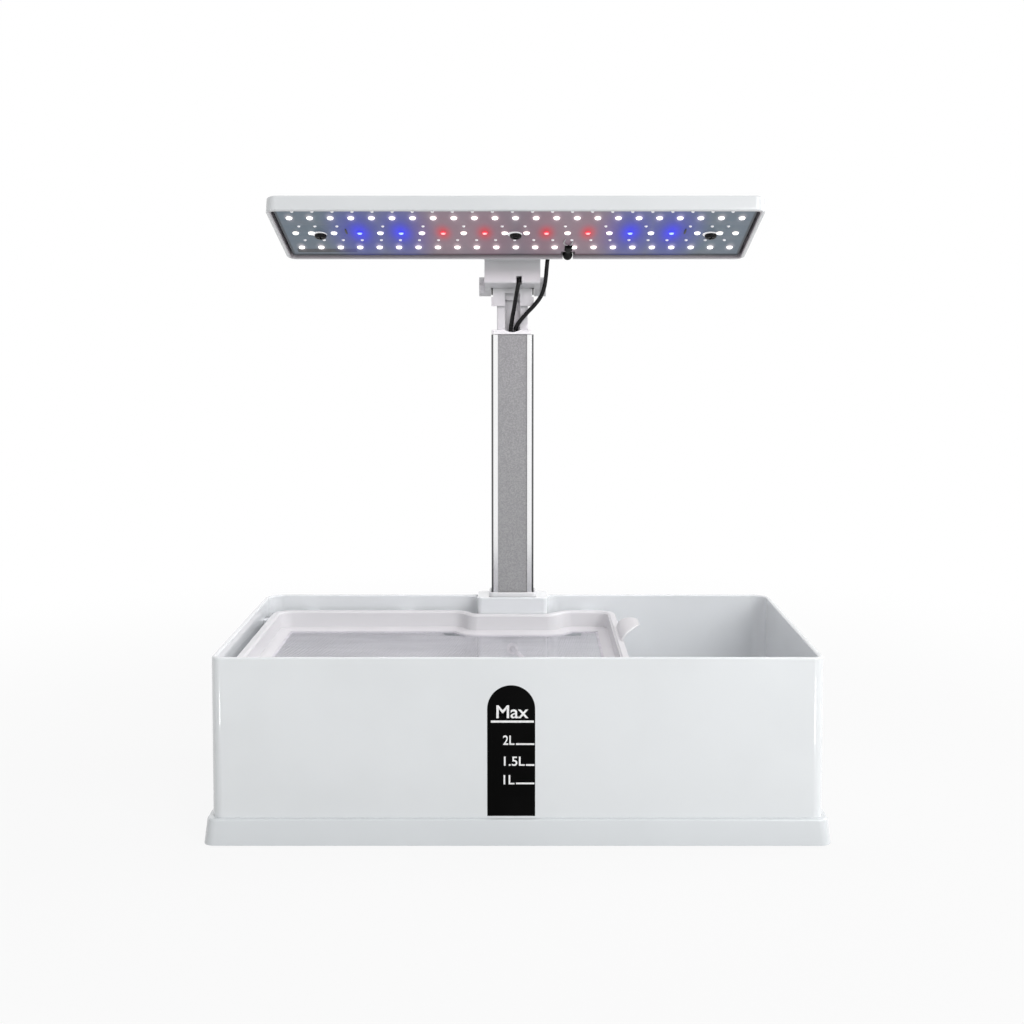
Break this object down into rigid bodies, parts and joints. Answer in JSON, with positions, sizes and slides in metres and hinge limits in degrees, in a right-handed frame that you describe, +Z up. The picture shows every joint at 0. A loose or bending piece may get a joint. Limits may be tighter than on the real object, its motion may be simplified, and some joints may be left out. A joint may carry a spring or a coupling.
{
  "type": "countertop hydroponic garden",
  "caption": "Open white water tank on a skirt with a lift-out net tray and a pump, a telescoping post at the back and a flat LED grow lamp on a friction hinge.",
  "frame": {"origin": "centre of the footprint, on the surface it stands on", "axes": "+Z up, +X to the right as seen from the front, +Y from the front towards the post at the back"},
  "size_m": [0.3282, 0.1782, 0.3429],
  "materials": {
    "tank_white": "glossy white",
    "base_white": "glossy white",
    "tray_white": "satin white",
    "mesh_grey": "woven grey net",
    "scale_black": "black with white level marks",
    "post_aluminium": "satin with polished edges",
    "fitting_white": "satin light grey",
    "lamp_white": "glossy white",
    "board_grey": "blue-grey circuit board with chips",
    "rubber_black": "black rubber",
    "screw_steel": "plain steel",
    "screw_black": "blackened steel",
    "pump_grey": "grey moulded",
    "circuit_green": "green circuit board"
  },
  "bodies": {
    "base": {"tank_body": "tank_white", "base_skirt": "base_white", "level_scale": "scale_black", "foot_front_left": "rubber_black", "foot_front_right": "rubber_black", "foot_back_left": "rubber_black", "foot_back_right": "rubber_black", "base_screw_front_left": "screw_steel", "base_screw_front_right": "screw_steel", "base_screw_back_left": "screw_steel", "base_screw_back_right": "screw_steel", "post_profile": "post_aluminium", "post_screw_1": "screw_steel", "post_screw_2": "screw_steel", "socket_collar": "fitting_white", "power_inlet": "rubber_black", "post_top_cap": "fitting_white", "pump_body": "pump_grey", "pump_intake": "pump_grey", "pump_gland": "pump_grey", "pump_lead": "pump_grey"},
    "tray": {"grow_tray": "tray_white", "tray_mesh": "mesh_grey"},
    "neck": {"neck_tube": "fitting_white", "neck_glide": "pump_grey", "hinge_block": "fitting_white", "switch_lead": "rubber_black", "lamp_lead": "rubber_black"},
    "lamp": {"lamp_yoke": "fitting_white", "yoke_cover": "fitting_white", "switch_board": "circuit_green", "yoke_screw_left": "screw_steel", "yoke_screw_right": "screw_steel", "lamp_housing": "lamp_white", "led_board": "board_grey", "board_screw_1": "screw_black", "board_screw_2": "screw_black", "board_screw_3": "screw_black", "lead_gland": "rubber_black", "hinge_bolt": "screw_steel", "hinge_nut": "screw_steel", "friction_washer_left": "rubber_black", "friction_washer_right": "rubber_black"},
    "button": {"timer_button": "pump_grey"},
    "impeller": {"pump_impeller": "fitting_white"}
  },
  "joints": [
    {"name": "tray_lift", "type": "slide", "parent": "base", "child": "tray", "axis": [0, 0, 1], "range_m": [0, 0.06]},
    {"name": "post_extension", "type": "slide", "parent": "base", "child": "neck", "axis": [0, 0, 1], "range_m": [-0.014, 0.11], "deforming": ["switch_lead", "lamp_lead"]},
    {"name": "lamp_tilt", "type": "hinge", "parent": "neck", "child": "lamp", "pos_m": [-0.0033, 0.07735, 0.2945], "axis": [1, 0, 0], "range_deg": [-45, 16.7], "deforming": ["switch_lead", "lamp_lead"]},
    {"name": "timer_press", "type": "slide", "parent": "lamp", "child": "button", "axis": [0, -0.2874, -0.9578], "range_m": [0, 0.001], "stiffness_N_per_m": 800, "springref_m": -0.0005},
    {"name": "pump_spin", "type": "hinge", "parent": "base", "child": "impeller", "pos_m": [-0.001, 0.0232, 0.027], "axis": [0, 1, 0], "continuous": true}
  ]
}
